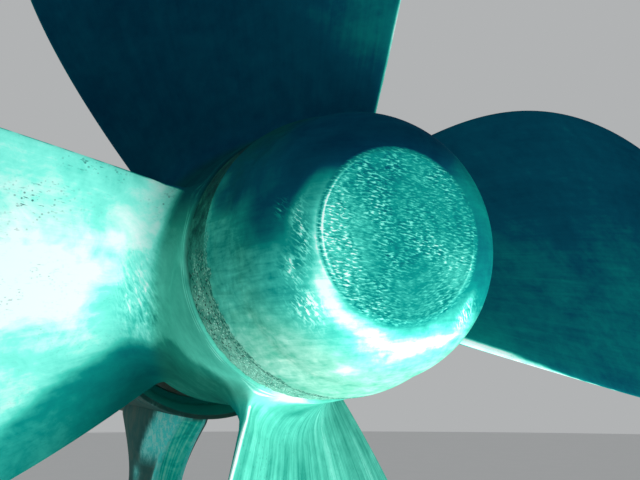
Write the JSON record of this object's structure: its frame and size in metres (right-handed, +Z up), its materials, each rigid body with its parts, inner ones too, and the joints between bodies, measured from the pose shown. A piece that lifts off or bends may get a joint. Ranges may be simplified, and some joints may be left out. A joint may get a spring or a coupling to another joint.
{
  "type": "ship propeller on its tail shaft and shaft bracket",
  "caption": "Fixed-pitch ship propeller cast in one piece, with a rounded boss cap, turning on a tail shaft in a single-arm shaft bracket with a bolted palm.",
  "frame": {"origin": "centre of the flat lower face of the bracket's palm", "axes": "+Z up from the palm to the shaft line, +Y forward along the shaft, so the boss cap points to -Y; the shaft line is offset to +X"},
  "size_m": [3.1893, 2.441, 3.7446],
  "materials": {
    "bronze": "cast bronze with a blue-green patina, brushed bright on the exposed faces",
    "cement": "rough dark green cement",
    "liner_bronze": "machined bronze",
    "shaft_steel": "turned forged steel",
    "bracket_paint": "brown-grey coating over cast steel, scratched through in places",
    "bearing": "black bearing rubber",
    "fastener": "dull steel"
  },
  "bodies": {
    "bracket": {"bracket_barrel": "bracket_paint", "bracket_arm": "bracket_paint", "bracket_palm": "bracket_paint", "bearing_bush": "bearing", "bush_keeper_aft": "fastener", "bush_keeper_forward": "fastener", "bush_keeper_aft_bolt_1": "fastener", "bush_keeper_aft_bolt_2": "fastener", "bush_keeper_aft_bolt_3": "fastener", "bush_keeper_aft_bolt_4": "fastener", "bush_keeper_aft_bolt_5": "fastener", "bush_keeper_aft_bolt_6": "fastener", "bush_keeper_forward_bolt_1": "fastener", "bush_keeper_forward_bolt_2": "fastener", "bush_keeper_forward_bolt_3": "fastener", "bush_keeper_forward_bolt_4": "fastener", "bush_keeper_forward_bolt_5": "fastener", "bush_keeper_forward_bolt_6": "fastener", "palm_bolt_1": "fastener", "palm_bolt_2": "fastener", "palm_bolt_3": "fastener", "palm_bolt_4": "fastener", "palm_bolt_5": "fastener", "palm_bolt_6": "fastener", "palm_bolt_7": "fastener", "palm_bolt_8": "fastener"},
    "propeller": {"propeller_casting": "bronze", "boss_cap": "bronze", "cap_joint_band": "cement", "propeller_nut": "liner_bronze", "tail_shaft": "shaft_steel", "shaft_liner": "liner_bronze", "boss_gland_ring": "liner_bronze", "boss_gland_ring_bolt_1": "fastener", "boss_gland_ring_bolt_2": "fastener", "boss_gland_ring_bolt_3": "fastener", "boss_gland_ring_bolt_4": "fastener", "boss_gland_ring_bolt_5": "fastener", "boss_gland_ring_bolt_6": "fastener"}
  },
  "joints": [
    {"name": "shaft_turn", "type": "hinge", "parent": "bracket", "child": "propeller", "pos_m": [0.28305, 0, 2.15], "axis": [0, 1, 0], "continuous": true}
  ]
}
